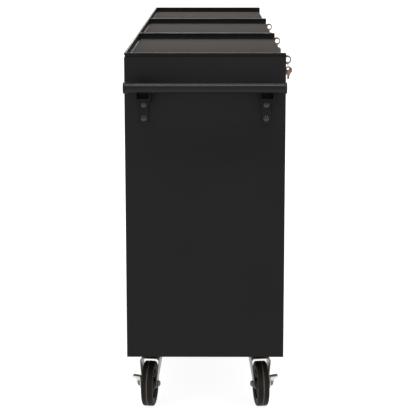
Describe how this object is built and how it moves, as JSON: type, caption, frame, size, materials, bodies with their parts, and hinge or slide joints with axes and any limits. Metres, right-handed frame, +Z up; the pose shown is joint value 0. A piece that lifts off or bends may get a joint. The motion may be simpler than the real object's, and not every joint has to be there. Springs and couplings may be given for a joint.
{
  "type": "rolling tool chest",
  "caption": "Long rolling tool chest: black steel cabinets side by side with drawers, lined tray tops, key locks, a push handle on one end and braked swivel casters.",
  "frame": {"origin": "centre of the overall box on the floor that the wheels stand on", "axes": "+Z up, +X along the chest away from the push handle, -Y the way the drawers open"},
  "size_m": [2.0448, 0.481, 1.009],
  "materials": {
    "black_paint": "fine-textured black powder coat",
    "tray_paint": "satin black powder coat",
    "mat_foam": "matt warm grey liner mat",
    "tube_paint": "smooth semi-gloss black",
    "black_plastic": "moulded",
    "zinc": "zinc plated",
    "key_metal": "nickel-plated brass, worn",
    "chrome": "polished",
    "tyre": "moulded rubber"
  },
  "bodies": {
    "chest": {"carcass_left": "black_paint", "top_tray_left": "tray_paint", "tray_mat_left": "mat_foam", "slide_frame_left": "zinc", "lock_barrel_left": "chrome", "carcass_middle": "black_paint", "top_tray_middle": "tray_paint", "tray_mat_middle": "mat_foam", "slide_frame_middle": "zinc", "lock_barrel_middle": "chrome", "carcass_right": "black_paint", "top_tray_right": "tray_paint", "tray_mat_right": "mat_foam", "slide_frame_right": "zinc", "lock_barrel_right": "chrome", "handle_tube": "tube_paint", "handle_cap_rear": "black_plastic", "handle_cap_front": "black_plastic", "handle_bracket_rear": "black_paint", "handle_bracket_front": "black_paint", "caster_crossmember_left": "black_paint", "caster_crossmember_middle": "black_paint", "caster_fork_middle_rear": "zinc", "caster_fork_middle_front": "zinc", "caster_crossmember_right": "black_paint"},
    "drawer_left_1": {"drawer_left_1": "black_paint"},
    "drawer_left_2": {"drawer_left_2": "black_paint"},
    "drawer_left_3": {"drawer_left_3": "black_paint"},
    "drawer_left_4": {"drawer_left_4": "black_paint"},
    "drawer_left_5": {"drawer_left_5": "black_paint"},
    "key_left": {"key_left": "key_metal"},
    "key_ring_left": {"key_ring_left": "key_metal"},
    "drawer_middle_1": {"drawer_middle_1": "black_paint"},
    "drawer_middle_2": {"drawer_middle_2": "black_paint"},
    "drawer_middle_3": {"drawer_middle_3": "black_paint"},
    "drawer_middle_4": {"drawer_middle_4": "black_paint"},
    "drawer_middle_5": {"drawer_middle_5": "black_paint"},
    "key_middle": {"key_middle": "key_metal"},
    "key_ring_middle": {"key_ring_middle": "key_metal"},
    "drawer_right_1": {"drawer_right_1": "black_paint"},
    "drawer_right_2": {"drawer_right_2": "black_paint"},
    "drawer_right_3": {"drawer_right_3": "black_paint"},
    "drawer_right_4": {"drawer_right_4": "black_paint"},
    "drawer_right_5": {"drawer_right_5": "black_paint"},
    "key_right": {"key_right": "key_metal"},
    "key_ring_right": {"key_ring_right": "key_metal"},
    "wheel_left_rear": {"caster_wheel_left_rear": "tyre"},
    "swivel_left_rear": {"caster_fork_left_rear": "zinc"},
    "brake_left_rear": {"brake_lever_left_rear": "zinc"},
    "wheel_left_front": {"caster_wheel_left_front": "tyre"},
    "swivel_left_front": {"caster_fork_left_front": "zinc"},
    "brake_left_front": {"brake_lever_left_front": "zinc"},
    "wheel_middle_rear": {"caster_wheel_middle_rear": "tyre"},
    "wheel_middle_front": {"caster_wheel_middle_front": "tyre"},
    "wheel_right_rear": {"caster_wheel_right_rear": "tyre"},
    "swivel_right_rear": {"caster_fork_right_rear": "zinc"},
    "brake_right_rear": {"brake_lever_right_rear": "zinc"},
    "wheel_right_front": {"caster_wheel_right_front": "tyre"},
    "swivel_right_front": {"caster_fork_right_front": "zinc"},
    "brake_right_front": {"brake_lever_right_front": "zinc"}
  },
  "joints": [
    {"name": "slide_left_1", "type": "slide", "parent": "chest", "child": "drawer_left_1", "axis": [0, -1, 0], "range_m": [0, 0.34]},
    {"name": "slide_left_2", "type": "slide", "parent": "chest", "child": "drawer_left_2", "axis": [0, -1, 0], "range_m": [0, 0.34]},
    {"name": "slide_left_3", "type": "slide", "parent": "chest", "child": "drawer_left_3", "axis": [0, -1, 0], "range_m": [0, 0.34]},
    {"name": "slide_left_4", "type": "slide", "parent": "chest", "child": "drawer_left_4", "axis": [0, -1, 0], "range_m": [0, 0.34]},
    {"name": "slide_left_5", "type": "slide", "parent": "chest", "child": "drawer_left_5", "axis": [0, -1, 0], "range_m": [0, 0.34]},
    {"name": "key_turn_left", "type": "hinge", "parent": "chest", "child": "key_left", "pos_m": [-0.42025, -0.1915, 0.937], "axis": [0, 1, 0], "range_deg": [0, 90]},
    {"name": "ring_swing_left", "type": "hinge", "parent": "key_left", "child": "key_ring_left", "pos_m": [-0.42025, -0.2275, 0.92625], "axis": [0, 1, 0], "range_deg": [-90, 25]},
    {"name": "slide_middle_1", "type": "slide", "parent": "chest", "child": "drawer_middle_1", "axis": [0, -1, 0], "range_m": [0, 0.34]},
    {"name": "slide_middle_2", "type": "slide", "parent": "chest", "child": "drawer_middle_2", "axis": [0, -1, 0], "range_m": [0, 0.34]},
    {"name": "slide_middle_3", "type": "slide", "parent": "chest", "child": "drawer_middle_3", "axis": [0, -1, 0], "range_m": [0, 0.34]},
    {"name": "slide_middle_4", "type": "slide", "parent": "chest", "child": "drawer_middle_4", "axis": [0, -1, 0], "range_m": [0, 0.34]},
    {"name": "slide_middle_5", "type": "slide", "parent": "chest", "child": "drawer_middle_5", "axis": [0, -1, 0], "range_m": [0, 0.34]},
    {"name": "key_turn_middle", "type": "hinge", "parent": "chest", "child": "key_middle", "pos_m": [0.23975, -0.1915, 0.937], "axis": [0, 1, 0], "range_deg": [0, 90]},
    {"name": "ring_swing_middle", "type": "hinge", "parent": "key_middle", "child": "key_ring_middle", "pos_m": [0.23975, -0.2275, 0.92625], "axis": [0, 1, 0], "range_deg": [-90, 25]},
    {"name": "slide_right_1", "type": "slide", "parent": "chest", "child": "drawer_right_1", "axis": [0, -1, 0], "range_m": [0, 0.34]},
    {"name": "slide_right_2", "type": "slide", "parent": "chest", "child": "drawer_right_2", "axis": [0, -1, 0], "range_m": [0, 0.34]},
    {"name": "slide_right_3", "type": "slide", "parent": "chest", "child": "drawer_right_3", "axis": [0, -1, 0], "range_m": [0, 0.34]},
    {"name": "slide_right_4", "type": "slide", "parent": "chest", "child": "drawer_right_4", "axis": [0, -1, 0], "range_m": [0, 0.34]},
    {"name": "slide_right_5", "type": "slide", "parent": "chest", "child": "drawer_right_5", "axis": [0, -1, 0], "range_m": [0, 0.34]},
    {"name": "key_turn_right", "type": "hinge", "parent": "chest", "child": "key_right", "pos_m": [0.89975, -0.1915, 0.937], "axis": [0, 1, 0], "range_deg": [0, 90]},
    {"name": "ring_swing_right", "type": "hinge", "parent": "key_right", "child": "key_ring_right", "pos_m": [0.89975, -0.2275, 0.92625], "axis": [0, 1, 0], "range_deg": [-90, 25]},
    {"name": "swivel_left_rear", "type": "hinge", "parent": "chest", "child": "swivel_left_rear", "pos_m": [-0.84565, 0.177, 0.14], "axis": [0, 0, 1], "continuous": true},
    {"name": "roll_left_rear", "type": "hinge", "parent": "swivel_left_rear", "child": "wheel_left_rear", "pos_m": [-0.88237, 0.18151, 0.0635], "axis": [0.1219, 0.9925, 0], "continuous": true},
    {"name": "brake_press_left_rear", "type": "hinge", "parent": "swivel_left_rear", "child": "brake_left_rear", "pos_m": [-0.88237, 0.18151, 0.0635], "axis": [-0.1219, -0.9925, 0], "range_deg": [0, 18]},
    {"name": "swivel_left_front", "type": "hinge", "parent": "chest", "child": "swivel_left_front", "pos_m": [-0.84565, -0.128, 0.14], "axis": [0, 0, 1], "continuous": true},
    {"name": "roll_left_front", "type": "hinge", "parent": "swivel_left_front", "child": "wheel_left_front", "pos_m": [-0.88237, -0.13251, 0.0635], "axis": [-0.1219, 0.9925, 0], "continuous": true},
    {"name": "brake_press_left_front", "type": "hinge", "parent": "swivel_left_front", "child": "brake_left_front", "pos_m": [-0.88237, -0.13251, 0.0635], "axis": [0.1219, -0.9925, 0], "range_deg": [0, 18]},
    {"name": "roll_middle_rear", "type": "hinge", "parent": "chest", "child": "wheel_middle_rear", "pos_m": [0.03275, 0.18151, 0.0635], "axis": [0, 1, 0], "continuous": true},
    {"name": "roll_middle_front", "type": "hinge", "parent": "chest", "child": "wheel_middle_front", "pos_m": [0.03275, -0.13251, 0.0635], "axis": [0, 1, 0], "continuous": true},
    {"name": "swivel_right_rear", "type": "hinge", "parent": "chest", "child": "swivel_right_rear", "pos_m": [0.91115, 0.177, 0.14], "axis": [0, 0, 1], "continuous": true},
    {"name": "roll_right_rear", "type": "hinge", "parent": "swivel_right_rear", "child": "wheel_right_rear", "pos_m": [0.87443, 0.18151, 0.0635], "axis": [0.1219, 0.9925, 0], "continuous": true},
    {"name": "brake_press_right_rear", "type": "hinge", "parent": "swivel_right_rear", "child": "brake_right_rear", "pos_m": [0.87443, 0.18151, 0.0635], "axis": [-0.1219, -0.9925, 0], "range_deg": [0, 18]},
    {"name": "swivel_right_front", "type": "hinge", "parent": "chest", "child": "swivel_right_front", "pos_m": [0.91115, -0.128, 0.14], "axis": [0, 0, 1], "continuous": true},
    {"name": "roll_right_front", "type": "hinge", "parent": "swivel_right_front", "child": "wheel_right_front", "pos_m": [0.87443, -0.13251, 0.0635], "axis": [-0.1219, 0.9925, 0], "continuous": true},
    {"name": "brake_press_right_front", "type": "hinge", "parent": "swivel_right_front", "child": "brake_right_front", "pos_m": [0.87443, -0.13251, 0.0635], "axis": [0.1219, -0.9925, 0], "range_deg": [0, 18]}
  ]
}
